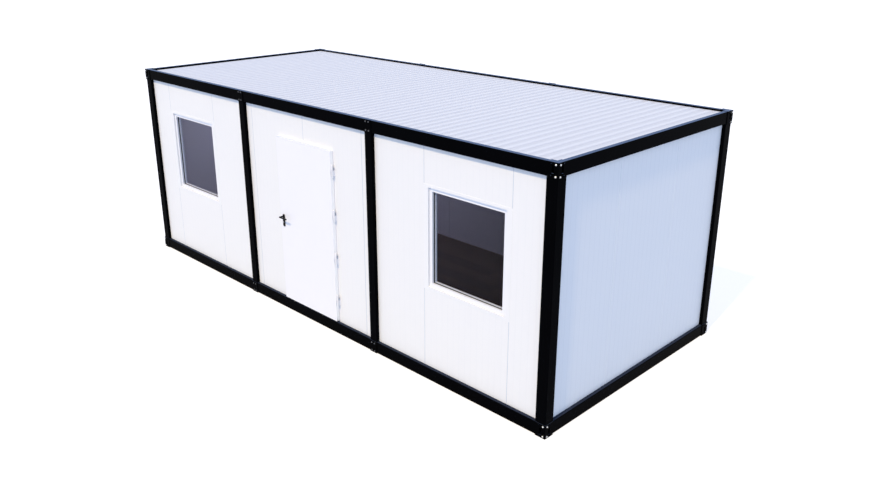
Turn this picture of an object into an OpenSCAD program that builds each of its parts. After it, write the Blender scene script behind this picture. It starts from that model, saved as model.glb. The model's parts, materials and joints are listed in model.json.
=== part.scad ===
// Portable site cabin: bolted steel frame, insulated wall panels, one door and two windows.
// Millimetres. X runs along the cabin, -Y is the door side, Z is up from the ground.

/* [Cabin] */
// Overall length over the corner blocks
cabin_l = 7000; // [6400:50:9000]
// Overall depth over the corner blocks
cabin_w = 3000; // [2600:50:3600]
// Overall height from the ground to the top of the corner blocks
cabin_h = 2580; // [2500:10:3200]

/* [Steel frame] */
// Side of the square corner blocks
block_side = 116; // [100:1:140]
// Height of the corner blocks
block_h = 140; // [140:1:180]
// Plate thickness of the corner blocks
block_wall = 8; // [5:0.5:12]
// Width of the lifting slots in the corner blocks
slot_w = 24; // [16:1:40]
// Height of the lifting slots in the corner blocks
slot_h = 70; // [40:1:80]
// Middle of a lifting slot from the outer end of its block
slot_drop = 62; // [56:1:68]
// How far the corner blocks stand proud of the rails and posts
frame_set = 6; // [3:0.5:10]
// Side of the square corner posts
post_side = 119; // [100:1:130]
// Wall of the corner posts and middle posts
post_wall = 4; // [3:0.5:6]
// Radius of the outer edges of the posts
post_round = 7; // [5:0.5:10]
// Width of the middle posts
mid_post_w = 107; // [80:1:120]
// Height of the top rails
rail_h = 129; // [110:1:134]
// Height of the bottom rails
base_h = 134; // [110:1:136]
// Plate thickness of the rails
rail_t = 4; // [3:0.5:6]
// Inside radius of the folds in the rails
fold_r = 4; // [2:0.5:6]
// Width of the rail flange that carries the floor or the ceiling, from the cabin face
rail_shelf = 146; // [135:1:180]
// Lip turned down from the floor shelf
shelf_lip = 40; // [20:1:60]
// Width of the foot flange under the bottom rails
foot_flange = 60; // [40:1:80]
// Width of the flange along the top of the top rails
top_flange = 55; // [40:1:70]
// Clearance of the bottom rails above the ground
ground_gap = 2; // [1:0.5:4]
// How far the corner blocks rise above the top rails
top_gap = 3; // [2:0.5:6]
// How far a joint plate reaches above a top rail
plate_over = 3; // [1:0.5:3]

/* [Wall panels] */
// Thickness of the wall panels
panel_t = 60; // [40:1:80]
// Panel face behind the cabin face
panel_set = 45; // [35:1:55]
// Cover width of a standard panel
panel_cover = 1000; // [900:10:1050]
// Open joint between neighbouring panels
seam_gap = 1.5; // [1:0.1:3]
// Bevel along the panel joints
seam_bevel = 3; // [1.5:0.5:5]
// Length of the tongue at a panel joint
tongue_l = 12; // [8:1:18]
// Thickness of the tongue at a panel joint
tongue_t = 18; // [12:1:24]
// Clearance of a tongue in its groove
tongue_fit = 1; // [0.5:0.1:2]

/* [Windows] */
// Panel left beside a window, up to the seam
win_side = 57; // [40:1:90]
// Outer seam of a window panel from the cabin end, before both windows are moved sideways
win_margin = 514; // [430:1:550]
// How far both windows are moved to the right
win_shift = 15; // [-20:1:20]
// Overall width of a window
win_w = 980; // [800:5:1000]
// Underside of the windows above the ground
win_z = 1020; // [800:2:1150]
// Panel left above a window, up to the top rail
win_over = 405; // [200:5:600]
// Face width of the window frame
win_ring = 39; // [30:1:50]
// Window frame face behind the panel face
win_in = 17; // [8:1:25]
// Clearance of the window frame in the panel
win_fit = 1; // [0.5:0.5:2]
// How far the room side trim of a window laps over the panel
win_lap = 20; // [12:1:30]
// Thickness of the room side trim of a window
win_trim = 6; // [4:0.5:10]
// Outer pane behind the window frame face
glass_set = 32; // [26:1:40]
// Thickness of a glass pane
glass_t = 4; // [3:0.5:8]
// Gap between the two panes of a window
glass_gap = 20; // [12:1:24]
// How far the panes enter the window frame
glass_lap = 8; // [5:0.5:12]
// Depth of the glazing gasket in front of the outer pane
gasket = 12; // [8:1:16]
// How far the glazing gasket stands out of the window frame
gasket_lip = 3; // [2:0.5:5]

/* [Door] */
// How much wider the door bay is than the window bays
door_extra = 16; // [0:2:200]
// Width of the narrow panels beside the middle posts in the door bay
door_strip = 100; // [60:2:200]
// Width of the door leaf
leaf_w = 980; // [840:5:1040]
// Height left over the door leaf, up to the top rail
leaf_over = 305; // [260:5:400]
// Thickness of the door leaf
leaf_t = 40; // [36:1:44]
// Middle of the door leaf from the middle of the cabin
leaf_x = 34; // [-20:1:40]
// Underside of the door leaf above the bottom rail
leaf_lift = 19; // [14:1:26]
// Gap behind the closed leaf
leaf_gap = 5; // [5:0.5:8]
// How far the leaf laps over the frame opening
leaf_lap = 12; // [8:0.5:13]
// Width of the door frame members
jamb_w = 32; // [28:1:45]

/* [Door furniture] */
// Middle of the lowest hinge above the foot of the leaf
hinge_low = 256; // [180:2:300]
// Middle of the highest hinge below the top of the leaf
hinge_high = 214; // [180:2:300]
// Height of a hinge
hinge_h = 124; // [100:2:150]
// Radius of the hinge knuckles
knuckle_r = 9; // [8:0.25:10]
// Radius of the hinge pins
pin_r = 5; // [4:0.25:6]
// Radial clearance of the hinge pins and the lever neck
pin_fit = 0.05; // [0.02:0.01:0.1]
// Gap between the two knuckles of a hinge
thrust_gap = 0.5; // [0.4:0.1:1]
// Hinge axis beyond the edge of the leaf
hinge_out = 15; // [14.5:0.25:16]
// Hinge axis behind the face of the leaf
hinge_in = 10; // [9:0.5:14]
// Thickness of the hinge straps
strap_t = 3; // [2:0.25:4]
// Lever axis from the free edge of the leaf
backset = 60; // [40:1:75]
// Lever axis above the foot of the leaf
lever_z = 1045; // [900:5:1100]
// Length of the lever
lever_l = 130; // [100:1:140]
// Radius of the lever and of its neck
lever_r = 9; // [7:0.5:10]
// Reach of the lever from the handle plate to its middle
lever_reach = 53; // [36:1:60]
// Radius of the square bar that joins the two levers
spindle_r = 5; // [4:0.5:6]
// Width of the handle plates
plate_w = 38; // [34:1:44]
// Height of the handle plates
plate_h = 150; // [140:2:240]
// Thickness of the handle plates
plate_t = 8; // [5:0.5:10]
// Lever axis below the top of its plate
plate_drop = 25; // [22:1:80]
// Key cylinder below the lever axis
key_drop = 72; // [60:1:92]
// Radius of the round part of the key cylinder
key_r = 8.5; // [7:0.25:9]
// How far the key cylinder stands proud of the handle plate
key_proud = 3; // [1:0.5:5]

/* [Floor and roof] */
// Thickness of the floor deck
deck_t = 18; // [12:1:28]
// Clearance round the floor deck
deck_gap = 1; // [0.5:0.5:3]
// Width of the floor joists
joist_w = 60; // [40:1:80]
// Height of the floor joists
joist_h = 100; // [60:1:110]
// Plate thickness of the floor joists
joist_t = 4; // [3:0.5:6]
// Number of floor joists
joist_count = 11; // [8:1:14]
// Roof sheet crests below the top of the rails
roof_drop = 22; // [14:1:30]
// Thickness of the roof sheet
sheet_t = 2; // [1.5:0.25:3]
// Spacing of the roof ribs
rib_pitch = 117; // [100:1:200]
// Width of a rib along its crest
rib_crest = 40; // [30:1:60]
// Width of the slope on each side of a rib
rib_slope = 10; // [8:1:20]
// Height of the roof ribs
rib_h = 10; // [8:1:22]

/* [Hidden] */
$fn = 48;
eps = 1;
half_l = cabin_l / 2;
half_w = cabin_w / 2;
// Levels of the frame
base_top = ground_gap + base_h;
rail_top = cabin_h - top_gap;
head_z = rail_top - rail_h;
roof_z = rail_top - roof_drop;
sheet_under = roof_z - rib_h - sheet_t;
floor_z = base_top + deck_t;
ceiling_z = head_z + rail_t;
// Depths from the cabin face
post_in = frame_set + post_side;
panel_in = panel_set + panel_t;
rail_clear = frame_set + rail_t + fold_r + deck_gap;
corner_in = max(block_side, post_in) + deck_gap;
// Places along the front
bay_sum = cabin_l - 2 * post_in - 2 * mid_post_w;
door_bay = (bay_sum + 2 * door_extra) / 3;
mid_in = door_bay / 2;
mid_out = mid_in + mid_post_w;
bay_end = half_l - post_in;
win_outer = half_l - win_margin;
win_inner = win_outer - win_w - 2 * win_side;
win_left = win_shift - (win_outer + win_inner) / 2;
win_right = win_shift + (win_outer + win_inner) / 2;
win_h = head_z - win_over - win_z;
panel_face = -half_w + panel_set;
panel_back = panel_face + panel_t;
// Depths of the window frame and its panes
win_face = panel_face + win_in;
glass_outer = win_face + glass_set;
glass_inner = glass_outer + glass_t + glass_gap;
win_back = max(panel_back, glass_inner + glass_t) + win_trim;
// Door frame and leaf
leaf_left = leaf_x - leaf_w / 2;
leaf_right = leaf_x + leaf_w / 2;
leaf_foot = base_top + leaf_lift;
leaf_head = head_z - leaf_over;
leaf_back = panel_face - leaf_gap;
leaf_face = leaf_back - leaf_t;
door_left = leaf_left + leaf_lap;
door_right = leaf_right - leaf_lap;
door_head = leaf_head - leaf_lap;
sill_top = leaf_foot + leaf_lap;
frame_left = door_left - jamb_w;
frame_right = door_right + jamb_w;
frame_head = door_head + jamb_w;
// Hinges and lever
hinge_x = leaf_right + hinge_out;
hinge_y = leaf_face + hinge_in;
hinge_first = leaf_foot + hinge_low;
hinge_last = leaf_head - hinge_high;
hinge_count = 4;
hinge_step = (hinge_last - hinge_first) / (hinge_count - 1);
knuckle_h = (hinge_h - thrust_gap) / 2;
lever_x = leaf_left + backset;
lever_axis_z = leaf_foot + lever_z;
// Colours
black = [0.03, 0.03, 0.035];
white = [0.93, 0.94, 0.97];
pale = [0.84, 0.87, 0.93];

// A box from one corner to the opposite corner
module block(low, high) {
    translate(low)
        cube(high - low);
}

// A square or oblong outline with rounded corners
module round_outline(w, d, r) {
    translate([r, 0])
        square([w - 2 * r, d]);
    translate([0, r])
        square([w, d - 2 * r]);
    for (x = [r, w - r], y = [r, d - r])
        translate([x, y])
            circle(r);
}

// The waste between a square corner and a rounding, reaching from the corner along two signs
module corner_waste(at, way, r) {
    translate(at)
        difference() {
            translate([min(0, way[0] * r), min(0, way[1] * r)])
                square(r);
            translate(way * r)
                circle(r);
        }
}

// A plate section with rounded folds: its outline, then each fold as inside corner and direction
module folded_section(outline, folds) {
    difference() {
        polygon(outline);
        for (fold = folds)
            corner_waste(fold[0] - rail_t * fold[1], fold[1], fold_r + rail_t);
    }
    for (fold = folds)
        corner_waste(fold[0], fold[1], fold_r);
}

// Section of a bottom rail: depth from the cabin face, then height
module bottom_section() {
    web = frame_set + rail_t;
    lip = rail_shelf - rail_t;
    folded_section(
        [
            [frame_set, ground_gap],
            [frame_set + foot_flange, ground_gap],
            [frame_set + foot_flange, ground_gap + rail_t],
            [web, ground_gap + rail_t],
            [web, base_top - rail_t],
            [lip, base_top - rail_t],
            [lip, base_top - shelf_lip],
            [rail_shelf, base_top - shelf_lip],
            [rail_shelf, base_top],
            [frame_set, base_top]],
        [
            [[web, ground_gap + rail_t], [1, 1]],
            [[web, base_top - rail_t], [1, -1]],
            [[lip, base_top - rail_t], [-1, -1]]]);
}

// Section of a top rail: shelf for the ceiling below, lip over the roof sheet above
module top_section() {
    web = frame_set + rail_t;
    lip = frame_set + top_flange - rail_t;
    folded_section(
        [
            [frame_set, head_z],
            [rail_shelf, head_z],
            [rail_shelf, head_z + rail_t],
            [web, head_z + rail_t],
            [web, rail_top - rail_t],
            [lip, rail_top - rail_t],
            [lip, roof_z],
            [frame_set + top_flange, roof_z],
            [frame_set + top_flange, rail_top],
            [frame_set, rail_top]],
        [
            [[web, head_z + rail_t], [1, 1]],
            [[web, rail_top - rail_t], [1, -1]],
            [[lip, rail_top - rail_t], [-1, -1]]]);
}

// A rail along the front, between the corner blocks
module long_rail() {
    color(black)
        translate([-half_l + block_side, -half_w, 0])
            rotate([90, 0, 90])
                linear_extrude(cabin_l - 2 * block_side)
                    children();
}

// A rail along the left end, coped at both ends round the shelves of the long rails
module end_rail() {
    run = cabin_w - 2 * block_side;
    color(black)
        difference() {
            translate([-half_l, run / 2, 0])
                rotate([90, 0, 0])
                    linear_extrude(run)
                        children();
            for (side = [-1, 1])
                translate([-half_l + block_side, side * half_w, 0])
                    translate([0, -rail_shelf - deck_gap, -eps])
                        cube([rail_shelf, 2 * (rail_shelf + deck_gap), cabin_h + 2 * eps]);
        }
}

module front_bottom_rail() { long_rail() bottom_section(); }
module back_bottom_rail() { rotate([0, 0, 180]) long_rail() bottom_section(); }
module left_bottom_rail() { end_rail() bottom_section(); }
module right_bottom_rail() { rotate([0, 0, 180]) end_rail() bottom_section(); }
module front_top_rail() { long_rail() top_section(); }
module back_top_rail() { rotate([0, 0, 180]) long_rail() top_section(); }
module left_top_rail() { end_rail() top_section(); }
module right_top_rail() { rotate([0, 0, 180]) end_rail() top_section(); }

// A hollow corner post standing on its corner block, for the corner given by two signs
module corner_post(sx, sy) {
    color(black)
        translate([sx * (half_l - frame_set - post_side / 2), sy * (half_w - frame_set - post_side / 2), block_h])
            linear_extrude(cabin_h - 2 * block_h)
                difference() {
                    translate([-post_side / 2, -post_side / 2])
                        round_outline(post_side, post_side, post_round);
                    square(post_side - 2 * post_wall, center = true);
                }
}

module front_left_post() { corner_post(-1, -1); }
module front_right_post() { corner_post(1, -1); }
module back_left_post() { corner_post(-1, 1); }
module back_right_post() { corner_post(1, 1); }

// Two hollow middle posts between the front rails, as deep as the wall
module mid_posts() {
    depth = panel_in - frame_set;
    color(black)
        for (side = [-1, 1])
            translate([side * (mid_in + mid_post_w / 2), -half_w + frame_set, base_top])
                linear_extrude(head_z - base_top)
                    difference() {
                        translate([-mid_post_w / 2, 0])
                            round_outline(mid_post_w, depth, post_round);
                        translate([-mid_post_w / 2 + post_wall, post_wall])
                            square([mid_post_w - 2 * post_wall, depth - 2 * post_wall]);
                    }
}

module front_mid_posts() { mid_posts(); }
module back_mid_posts() { rotate([0, 0, 180]) mid_posts(); }

// A block with its two outer faces on -X and -Y, shrunk all round, lower inside than along the outer faces
module stepped_block(shrink, step_z) {
    far = block_side - shrink;
    ledge = frame_set + top_flange - shrink;
    top = block_h - shrink;
    block([shrink, shrink, shrink], [far, far, step_z - shrink]);
    block([shrink, shrink, shrink], [ledge, far, top]);
    block([shrink, shrink, shrink], [far, ledge, top]);
}

// One hollow corner block, slotted for lifting in both outer faces
module corner_block(slot_z, step_z) {
    difference() {
        stepped_block(0, step_z);
        stepped_block(block_wall, step_z);
        translate([block_side / 2 - slot_w / 2, -eps, slot_z - slot_h / 2])
            cube([slot_w, block_wall + 2 * eps, slot_h]);
        translate([-eps, block_side / 2 - slot_w / 2, slot_z - slot_h / 2])
            cube([block_wall + 2 * eps, slot_w, slot_h]);
    }
}

// The same block at all four corners, mirrored so that the slots face outwards
module corner_blocks(base_z, slot_z, step_z) {
    color(black)
        for (mx = [0, 1], my = [0, 1])
            mirror([mx, 0, 0])
                mirror([0, my, 0])
                    translate([-half_l, -half_w, base_z])
                        corner_block(slot_z, step_z);
}

// The top blocks step down inside, so that the roof sheet reaches into the corners
module top_corner_blocks() {
    base_z = cabin_h - block_h;
    corner_blocks(base_z, block_h - slot_drop, sheet_under - deck_gap - base_z);
}

module bottom_corner_blocks() { corner_blocks(0, slot_drop, block_h); }

// Plates that join the middle posts to the rails, on the faces of the rails
module joint_plates() {
    levels = [
        [ground_gap, base_top],
        [head_z, rail_top + plate_over]];
    color(black)
        for (side = [-1, 1], turn = [0, 180], level = levels)
            rotate([0, 0, turn])
                translate([side * (mid_in + mid_post_w / 2), 0, 0])
                    block([-mid_post_w / 2, -half_w, level[0]], [mid_post_w / 2, -half_w + frame_set, level[1]]);
}

// Plan of one panel, outer face at depth 0: a groove at its left joint, a tongue at its right joint
function panel_plan(x0, x1, grooved, tongued) =
    let (mid = panel_t / 2, half = tongue_t / 2, slot = tongue_t / 2 + tongue_fit)
    concat(
        grooved ? [[x0 + seam_bevel, 0]] : [[x0, 0]],
        tongued ? [
            [x1 - seam_bevel, 0],
            [x1, seam_bevel],
            [x1, mid - half],
            [x1 + tongue_l, mid - half + tongue_l / 4],
            [x1 + tongue_l, mid + half - tongue_l / 4],
            [x1, mid + half],
            [x1, panel_t - seam_bevel],
            [x1 - seam_bevel, panel_t]] : [[x1, 0], [x1, panel_t]],
        grooved ? [
            [x0 + seam_bevel, panel_t],
            [x0, panel_t - seam_bevel],
            [x0, mid + slot],
            [x0 + tongue_l, mid + slot - tongue_l / 4],
            [x0 + tongue_l, mid - slot + tongue_l / 4],
            [x0, mid - slot],
            [x0, seam_bevel]] : [[x0, panel_t]]);

// Chosen panels of a row whose edges and seams are listed from left to right, on the front wall
module panel_row(edges, picks, low, high) {
    last = len(edges) - 2;
    color(white)
        for (i = picks)
            translate([0, panel_face, low])
                linear_extrude(high - low)
                    polygon(panel_plan(
                        edges[i] + (i > 0 ? seam_gap / 2 : 0),
                        edges[i + 1] - (i < last ? seam_gap / 2 : 0),
                        i > 0,
                        i < last));
}

// Edges of a plain bay: one standard panel in the middle and a made-up panel on each side
function plain_bay(x0, x1) = [x0, (x0 + x1 - panel_cover) / 2, (x0 + x1 + panel_cover) / 2, x1];

left_bay = [-bay_end, win_shift - win_outer, win_shift - win_inner, -mid_out];
right_bay = [mid_out, win_shift + win_inner, win_shift + win_outer, bay_end];

module left_bay_panels() { panel_row(left_bay, [0, 2], base_top, head_z); }
module right_bay_panels() { panel_row(right_bay, [0, 2], base_top, head_z); }

// A box round the middle of a window, grown or shrunk from its overall size
module window_box(x, grow, y0, y1) {
    block(
        [x - win_w / 2 - grow, y0, win_z - grow],
        [x + win_w / 2 + grow, y1, win_z + win_h + grow]);
}

// The hole for a window frame
module window_cut(x) {
    window_box(x, 0, panel_face - eps, panel_back + eps);
}

module left_window_panel() {
    color(white)
        difference() {
            panel_row(left_bay, [1], base_top, head_z);
            window_cut(win_left);
        }
}

module right_window_panel() {
    color(white)
        difference() {
            panel_row(right_bay, [1], base_top, head_z);
            window_cut(win_right);
        }
}

door_seam = mid_in - door_strip;

module door_left_panels() { panel_row([-mid_in, -door_seam, frame_left], [0, 1], base_top, head_z); }
module door_right_panels() { panel_row([frame_right, door_seam, mid_in], [0, 1], base_top, head_z); }
module door_header_panels() { panel_row([frame_left, 0, frame_right], [0, 1], frame_head, head_z); }

module back_wall_panels() {
    bays = [[-bay_end, -mid_out], [-mid_in, mid_in], [mid_out, bay_end]];
    rotate([0, 0, 180])
        for (bay = bays)
            panel_row(plain_bay(bay[0], bay[1]), [0, 1, 2], base_top, head_z);
}

// The three panels of the right end wall
module end_panels() {
    reach = half_w - post_in;
    translate([half_l - half_w, 0, 0])
        rotate([0, 0, 90])
            panel_row(plain_bay(-reach, reach), [0, 1, 2], base_top, head_z);
}

module right_end_panels() { end_panels(); }
module left_end_panels() { rotate([0, 0, 180]) end_panels(); }

// Two panes, each in its own groove of the window frame
module window_panes(x) {
    for (y = [glass_outer, glass_inner])
        window_box(x, glass_lap - win_ring, y, y + glass_t);
}

module window_glass(x) {
    color([0.35, 0.4, 0.5, 0.5])
        window_panes(x);
}

// Frame set back in the panel, held by a trim on the room side
module window_frame(x) {
    color(white)
        difference() {
            union() {
                window_box(x, -win_fit, win_face, win_back);
                window_box(x, win_lap, panel_back, panel_back + win_trim);
            }
            window_box(x, -win_ring, win_face - eps, win_back + eps);
            window_panes(x);
        }
}

module window_gasket(x) {
    color([0.06, 0.07, 0.1])
        difference() {
            window_box(x, -win_ring, glass_outer - gasket, glass_outer);
            window_box(x, -win_ring - gasket_lip, glass_outer - gasket - eps, glass_outer + eps);
        }
}

module left_window_frame() { window_frame(win_left); }
module right_window_frame() { window_frame(win_right); }
module left_window_gasket() { window_gasket(win_left); }
module right_window_gasket() { window_gasket(win_right); }
module left_window_glass() { window_glass(win_left); }
module right_window_glass() { window_glass(win_right); }

// Two jambs and a head in the thickness of the wall
module door_frame() {
    color(white)
        difference() {
            block([frame_left, panel_face, base_top], [frame_right, panel_back, frame_head]);
            block([door_left, panel_face - eps, base_top - eps], [door_right, panel_back + eps, door_head]);
        }
}

// Threshold between the jambs: a slope that sheds water outwards, a flat tread, a bevel towards the floor
module door_threshold() {
    rise = sill_top - base_top;
    color("silver")
        translate([door_left, panel_face, base_top])
            rotate([90, 0, 90])
                linear_extrude(door_right - door_left)
                    polygon([
                        [0, 0],
                        [panel_t, 0],
                        [panel_t, rise - leaf_lap],
                        [panel_t - leaf_lap, rise],
                        [leaf_lap, rise],
                        [0, rise - leaf_lap / 2]]);
}

module door_leaf() {
    color(white)
        difference() {
            block([leaf_left, leaf_face, leaf_foot], [leaf_right, leaf_back, leaf_head]);
            translate([lever_x, leaf_back + eps, lever_axis_z])
                rotate([90, 0, 0])
                    cylinder(r = spindle_r + leaf_gap, h = leaf_t + 2 * eps);
        }
}

// Lower knuckle with its pin, on a strap fixed to the door frame
module hinge_frame_half() {
    strap_w = 2 * knuckle_r + strap_t;
    depth = panel_face - hinge_y;
    cylinder(r = knuckle_r, h = knuckle_h);
    cylinder(r = pin_r, h = hinge_h - strap_t);
    translate([-knuckle_r / 2, 0, 0])
        cube([knuckle_r, depth, knuckle_h]);
    translate([-knuckle_r / 2, depth - strap_t, 0])
        cube([strap_w, strap_t, hinge_h]);
}

// Upper knuckle, bored for the pin, on a strap fixed to the edge of the leaf
module hinge_leaf_half() {
    difference() {
        union() {
            cylinder(r = knuckle_r, h = knuckle_h);
            translate([-hinge_out, -knuckle_r / 2, 0])
                cube([hinge_out, knuckle_r, knuckle_h]);
            translate([-hinge_out, -hinge_in, 0])
                cube([strap_t, leaf_t - 2 * strap_t, knuckle_h]);
        }
        translate([0, 0, -eps])
            cylinder(r = pin_r + pin_fit, h = knuckle_h + 2 * eps);
    }
}

module at_hinges() {
    for (i = [0 : hinge_count - 1])
        translate([hinge_x, hinge_y, hinge_first + i * hinge_step - hinge_h / 2])
            children();
}

module hinge_frame_halves() {
    color(white)
        at_hinges()
            hinge_frame_half();
}

module hinge_leaf_halves() {
    color(white)
        at_hinges()
            translate([0, 0, knuckle_h + thrust_gap])
                hinge_leaf_half();
}

// A long plate with round ends and the end of a key cylinder, on a leaf face at y = 0, towards -Y
module handle_plate() {
    r = plate_w / 2;
    rotate([90, 0, 0])
        difference() {
            union() {
                translate([-r, plate_drop - plate_h + r, 0])
                    cube([plate_w, plate_h - plate_w, plate_t]);
                for (z = [plate_drop - r, plate_drop - plate_h + r])
                    translate([0, z, 0])
                        cylinder(r = r, h = plate_t);
                translate([0, -key_drop, 0]) {
                    cylinder(r = key_r, h = plate_t + key_proud);
                    translate([-key_r / 2, -2 * key_r, 0])
                        cube([key_r, 2 * key_r, plate_t + key_proud]);
                    translate([0, -2 * key_r, 0])
                        cylinder(r = key_r / 2, h = plate_t + key_proud);
                }
            }
            translate([0, 0, -eps])
                cylinder(r = lever_r + pin_fit, h = plate_t + 2 * eps);
        }
}

module door_handle_plates() {
    color(black)
        translate([lever_x, 0, lever_axis_z]) {
            translate([0, leaf_face, 0])
                handle_plate();
            translate([0, leaf_back, 0])
                mirror([0, 1, 0])
                    handle_plate();
        }
}

// Neck and lever on one side of the leaf, reaching towards -Y
module lever_arm() {
    reach = plate_t + lever_reach;
    rotate([90, 0, 0])
        cylinder(r = lever_r, h = reach);
    translate([0, -reach, 0]) {
        sphere(r = lever_r);
        rotate([0, 90, 0])
            cylinder(r = lever_r, h = lever_l - lever_r);
        translate([lever_l - lever_r, 0, 0])
            sphere(r = lever_r);
    }
}

module door_lever() {
    color(black)
        translate([lever_x, 0, lever_axis_z]) {
            translate([0, leaf_face - thrust_gap, 0])
                lever_arm();
            translate([0, leaf_back + thrust_gap, 0])
                mirror([0, 1, 0])
                    lever_arm();
            translate([0, leaf_back + thrust_gap + eps, 0])
                rotate([90, 0, 0])
                    cylinder(r = spindle_r, h = leaf_t + 2 * thrust_gap + 2 * eps);
        }
}

// Four corner prisms that clear the corner posts and blocks, given their reach along X and along Y
module corner_notches(dx, dy, low, high) {
    for (sx = [-1, 1], sy = [-1, 1])
        translate([sx * half_l, sy * half_w, (low + high) / 2])
            cube([2 * dx, 2 * dy, high - low + 2 * eps], center = true);
}

module floor_deck() {
    edge = panel_in + deck_gap;
    color([0.2, 0.16, 0.15])
        difference() {
            block([-half_l + edge, -half_w + edge, base_top], [half_l - edge, half_w - edge, floor_z]);
            corner_notches(corner_in, corner_in, base_top, floor_z);
        }
}

// Channel joists between the shelves of the long rails
module floor_joists() {
    span = cabin_w - 2 * rail_shelf;
    pitch = (cabin_l - 2 * rail_shelf) / (joist_count + 1);
    color("gray")
        for (i = [1 : joist_count])
            translate([-half_l + rail_shelf + i * pitch - joist_w / 2, span / 2, base_top - joist_h])
                rotate([90, 0, 0])
                    linear_extrude(span)
                        difference() {
                            square([joist_w, joist_h]);
                            translate([joist_t, joist_t])
                                square([joist_w, joist_h - 2 * joist_t]);
                        }
}

// Insulated ceiling on the shelves of the top rails, up to the roof sheet
module ceiling_panel() {
    edge = rail_clear;
    color(pale)
        difference() {
            block([-half_l + edge, -half_w + edge, ceiling_z], [half_l - edge, half_w - edge, sheet_under]);
            corner_notches(corner_in, corner_in, ceiling_z, sheet_under);
        }
}

// Upper edge of the ribbed roof sheet, from left to right
function rib_line(count, reach) = concat(
    [[-reach, -rib_h]],
    [for (i = [0 : count - 1])
        let (c = (i - (count - 1) / 2) * rib_pitch)
            for (p = [
                [c - rib_crest / 2 - rib_slope, -rib_h],
                [c - rib_crest / 2, 0],
                [c + rib_crest / 2, 0],
                [c + rib_crest / 2 + rib_slope, -rib_h]])
                p],
    [[reach, -rib_h]]);

// Ribbed sheet tucked under the lips of the top rails
module roof_sheet() {
    edge = rail_clear;
    ledge = frame_set + top_flange + deck_gap;
    reach = half_l - edge;
    count = floor((2 * reach - rib_crest) / rib_pitch);
    upper = rib_line(count, reach);
    lower = [for (i = [len(upper) - 1 : -1 : 0]) upper[i] - [0, sheet_t]];
    color(pale)
        difference() {
            translate([0, half_w - edge, roof_z])
                rotate([90, 0, 0])
                    linear_extrude(cabin_w - 2 * edge)
                        polygon(concat(upper, lower));
            corner_notches(corner_in, ledge, sheet_under, roof_z);
            corner_notches(ledge, corner_in, sheet_under, roof_z);
        }
}

front_bottom_rail();
back_bottom_rail();
left_bottom_rail();
right_bottom_rail();
front_top_rail();
back_top_rail();
left_top_rail();
right_top_rail();
front_left_post();
front_right_post();
back_left_post();
back_right_post();
front_mid_posts();
back_mid_posts();
top_corner_blocks();
bottom_corner_blocks();
joint_plates();
left_bay_panels();
left_window_panel();
right_window_panel();
right_bay_panels();
door_left_panels();
door_right_panels();
door_header_panels();
back_wall_panels();
left_end_panels();
right_end_panels();
left_window_frame();
right_window_frame();
left_window_gasket();
right_window_gasket();
left_window_glass();
right_window_glass();
door_frame();
door_threshold();
door_leaf();
hinge_frame_halves();
hinge_leaf_halves();
door_handle_plates();
door_lever();
floor_deck();
floor_joists();
ceiling_panel();
roof_sheet();
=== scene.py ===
"""Looks of the portable site cabin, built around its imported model.

The steel frame, panels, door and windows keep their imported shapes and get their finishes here.
Bolts, floor boards, seals, window trim and small fittings are surfaces worked out with numpy.
Metres: X runs along the cabin, -Y is out of the door side, Z is up.
"""
import json
import math

import bpy
import numpy as np
from mathutils import Matrix, Vector


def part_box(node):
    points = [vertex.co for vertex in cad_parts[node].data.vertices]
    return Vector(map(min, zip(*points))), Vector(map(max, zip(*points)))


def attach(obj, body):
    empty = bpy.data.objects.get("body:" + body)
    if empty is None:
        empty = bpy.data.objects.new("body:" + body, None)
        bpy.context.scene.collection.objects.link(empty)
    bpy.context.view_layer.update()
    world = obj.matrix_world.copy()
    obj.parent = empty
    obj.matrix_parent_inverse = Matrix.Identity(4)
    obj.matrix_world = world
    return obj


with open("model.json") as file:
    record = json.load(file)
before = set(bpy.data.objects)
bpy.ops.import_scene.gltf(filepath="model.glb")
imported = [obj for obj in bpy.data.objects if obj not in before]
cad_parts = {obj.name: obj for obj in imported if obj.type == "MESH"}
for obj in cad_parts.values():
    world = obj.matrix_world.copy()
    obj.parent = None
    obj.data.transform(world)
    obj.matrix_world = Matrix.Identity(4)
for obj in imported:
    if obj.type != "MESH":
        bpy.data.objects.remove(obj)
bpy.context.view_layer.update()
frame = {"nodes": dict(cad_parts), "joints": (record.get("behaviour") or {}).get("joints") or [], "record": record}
nodes = frame["nodes"]
scene = bpy.context.scene

# Camera of the photograph: place, angles in degrees, then size, focal length and row of the optical axis in
# pixels, the sensor's width in millimetres and how far it sees
CAMERA_AT = (7.2891, -6.6897, 4.2926)
CAMERA_AZIMUTH = 44.9205
CAMERA_ELEVATION = 19.5174
CAMERA_ROLL = -0.0091
PHOTO_WIDTH = 872
PHOTO_HEIGHT = 490
FOCAL_PIXELS = 821.54
AXIS_ROW = 226.77
SENSOR_WIDTH = 36.0
CLIP_END = 500


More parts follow.
